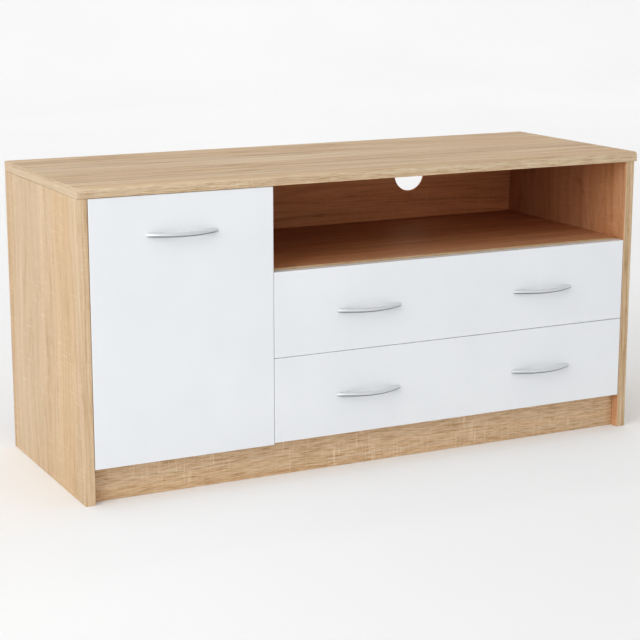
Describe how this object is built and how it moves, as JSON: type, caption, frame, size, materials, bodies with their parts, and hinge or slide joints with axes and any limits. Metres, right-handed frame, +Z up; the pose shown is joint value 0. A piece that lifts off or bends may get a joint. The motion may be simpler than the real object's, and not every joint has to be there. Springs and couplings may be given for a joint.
{
  "type": "tv stand",
  "caption": "Low television stand with one hinged door, an open niche with a cable hole, and drawers on roller runners, on side panels and a recessed plinth.",
  "frame": {"origin": "bottom centre of the bounding box of the whole stand, handles included", "axes": "+X along the stand's length to the right, +Y from the front to the back, +Z up from the floor"},
  "size_m": [1, 0.383, 0.484],
  "materials": {
    "oak_laminate": "matt printed oak laminate on chipboard, embossed grain",
    "white_laminate": "smooth satin white laminate on chipboard",
    "hardboard_back": "thin hardboard, printed oak face",
    "drawer_board": "matt white foil on chipboard and hardboard",
    "satin_metal": "satin silver",
    "white_enamel_steel": "white powder coat on rolled steel",
    "nickel_plated_steel": "nickel plate",
    "white_plastic": "moulded nylon"
  },
  "bodies": {
    "carcass": {"top_panel": "oak_laminate", "side_left": "oak_laminate", "side_right": "oak_laminate", "divider": "oak_laminate", "bottom_panel": "oak_laminate", "niche_shelf": "oak_laminate", "cabinet_shelf": "oak_laminate", "plinth": "oak_laminate", "rear_rail": "oak_laminate", "back_panel": "hardboard_back", "shelf_pin_left_front": "nickel_plated_steel", "shelf_pin_left_back": "nickel_plated_steel", "shelf_pin_right_front": "nickel_plated_steel", "shelf_pin_right_back": "nickel_plated_steel", "hinge_plate_lower": "nickel_plated_steel", "hinge_plate_upper": "nickel_plated_steel", "hinge_arm_lower": "nickel_plated_steel", "hinge_arm_upper": "nickel_plated_steel", "runner_lower_left_fixed_rail": "white_enamel_steel", "runner_lower_right_fixed_rail": "white_enamel_steel", "runner_upper_left_fixed_rail": "white_enamel_steel", "runner_upper_right_fixed_rail": "white_enamel_steel"},
    "door": {"door": "white_laminate", "door_handle": "satin_metal", "hinge_cup_lower": "nickel_plated_steel", "hinge_cup_upper": "nickel_plated_steel"},
    "drawer_lower": {"drawer_lower_front": "white_laminate", "drawer_lower_side_left": "drawer_board", "drawer_lower_side_right": "drawer_board", "drawer_lower_back": "drawer_board", "drawer_lower_bottom": "drawer_board", "drawer_lower_handle_left": "satin_metal", "drawer_lower_handle_right": "satin_metal", "runner_lower_left_drawer_rail": "white_enamel_steel", "runner_lower_right_drawer_rail": "white_enamel_steel"},
    "drawer_upper": {"drawer_upper_front": "white_laminate", "drawer_upper_side_left": "drawer_board", "drawer_upper_side_right": "drawer_board", "drawer_upper_back": "drawer_board", "drawer_upper_bottom": "drawer_board", "drawer_upper_handle_left": "satin_metal", "drawer_upper_handle_right": "satin_metal", "runner_upper_left_drawer_rail": "white_enamel_steel", "runner_upper_right_drawer_rail": "white_enamel_steel"},
    "runner_lower_left_front_roller": {"runner_lower_left_front_roller": "white_plastic"},
    "runner_lower_left_rear_roller": {"runner_lower_left_rear_roller": "white_plastic"},
    "runner_lower_right_front_roller": {"runner_lower_right_front_roller": "white_plastic"},
    "runner_lower_right_rear_roller": {"runner_lower_right_rear_roller": "white_plastic"},
    "runner_upper_left_front_roller": {"runner_upper_left_front_roller": "white_plastic"},
    "runner_upper_left_rear_roller": {"runner_upper_left_rear_roller": "white_plastic"},
    "runner_upper_right_front_roller": {"runner_upper_right_front_roller": "white_plastic"},
    "runner_upper_right_rear_roller": {"runner_upper_right_rear_roller": "white_plastic"}
  },
  "joints": [
    {"name": "door_hinge", "type": "hinge", "parent": "carcass", "child": "door", "pos_m": [-0.4832, -0.1715, 0.26], "axis": [0, 0, -1], "range_deg": [0, 110]},
    {"name": "drawer_lower_slide", "type": "slide", "parent": "carcass", "child": "drawer_lower", "axis": [0, -1, 0], "range_m": [0, 0.24]},
    {"name": "drawer_upper_slide", "type": "slide", "parent": "carcass", "child": "drawer_upper", "axis": [0, -1, 0], "range_m": [0, 0.24]},
    {"name": "runner_lower_left_front_roller_spin", "type": "hinge", "parent": "carcass", "child": "runner_lower_left_front_roller", "pos_m": [-0.17915, -0.1412, 0.0868], "axis": [1, 0, 0], "continuous": true},
    {"name": "runner_lower_left_rear_roller_spin", "type": "hinge", "parent": "drawer_lower", "child": "runner_lower_left_rear_roller", "pos_m": [-0.1786, 0.1308, 0.0848], "axis": [1, 0, 0], "continuous": true},
    {"name": "runner_lower_right_front_roller_spin", "type": "hinge", "parent": "carcass", "child": "runner_lower_right_front_roller", "pos_m": [0.47415, -0.1412, 0.0868], "axis": [1, 0, 0], "continuous": true},
    {"name": "runner_lower_right_rear_roller_spin", "type": "hinge", "parent": "drawer_lower", "child": "runner_lower_right_rear_roller", "pos_m": [0.4736, 0.1308, 0.0848], "axis": [1, 0, 0], "continuous": true},
    {"name": "runner_upper_left_front_roller_spin", "type": "hinge", "parent": "carcass", "child": "runner_upper_left_front_roller", "pos_m": [-0.17915, -0.1412, 0.2244], "axis": [1, 0, 0], "continuous": true},
    {"name": "runner_upper_left_rear_roller_spin", "type": "hinge", "parent": "drawer_upper", "child": "runner_upper_left_rear_roller", "pos_m": [-0.1786, 0.1308, 0.2224], "axis": [1, 0, 0], "continuous": true},
    {"name": "runner_upper_right_front_roller_spin", "type": "hinge", "parent": "carcass", "child": "runner_upper_right_front_roller", "pos_m": [0.47415, -0.1412, 0.2244], "axis": [1, 0, 0], "continuous": true},
    {"name": "runner_upper_right_rear_roller_spin", "type": "hinge", "parent": "drawer_upper", "child": "runner_upper_right_rear_roller", "pos_m": [0.4736, 0.1308, 0.2224], "axis": [1, 0, 0], "continuous": true}
  ],
  "couplings": [
    {"joint": "runner_lower_left_front_roller_spin", "follows": "drawer_lower_slide", "rad_per_m": 105.26},
    {"joint": "runner_lower_left_rear_roller_spin", "follows": "drawer_lower_slide", "rad_per_m": 105.26},
    {"joint": "runner_lower_right_front_roller_spin", "follows": "drawer_lower_slide", "rad_per_m": 105.26},
    {"joint": "runner_lower_right_rear_roller_spin", "follows": "drawer_lower_slide", "rad_per_m": 105.26},
    {"joint": "runner_upper_left_front_roller_spin", "follows": "drawer_upper_slide", "rad_per_m": 105.26},
    {"joint": "runner_upper_left_rear_roller_spin", "follows": "drawer_upper_slide", "rad_per_m": 105.26},
    {"joint": "runner_upper_right_front_roller_spin", "follows": "drawer_upper_slide", "rad_per_m": 105.26},
    {"joint": "runner_upper_right_rear_roller_spin", "follows": "drawer_upper_slide", "rad_per_m": 105.26}
  ]
}
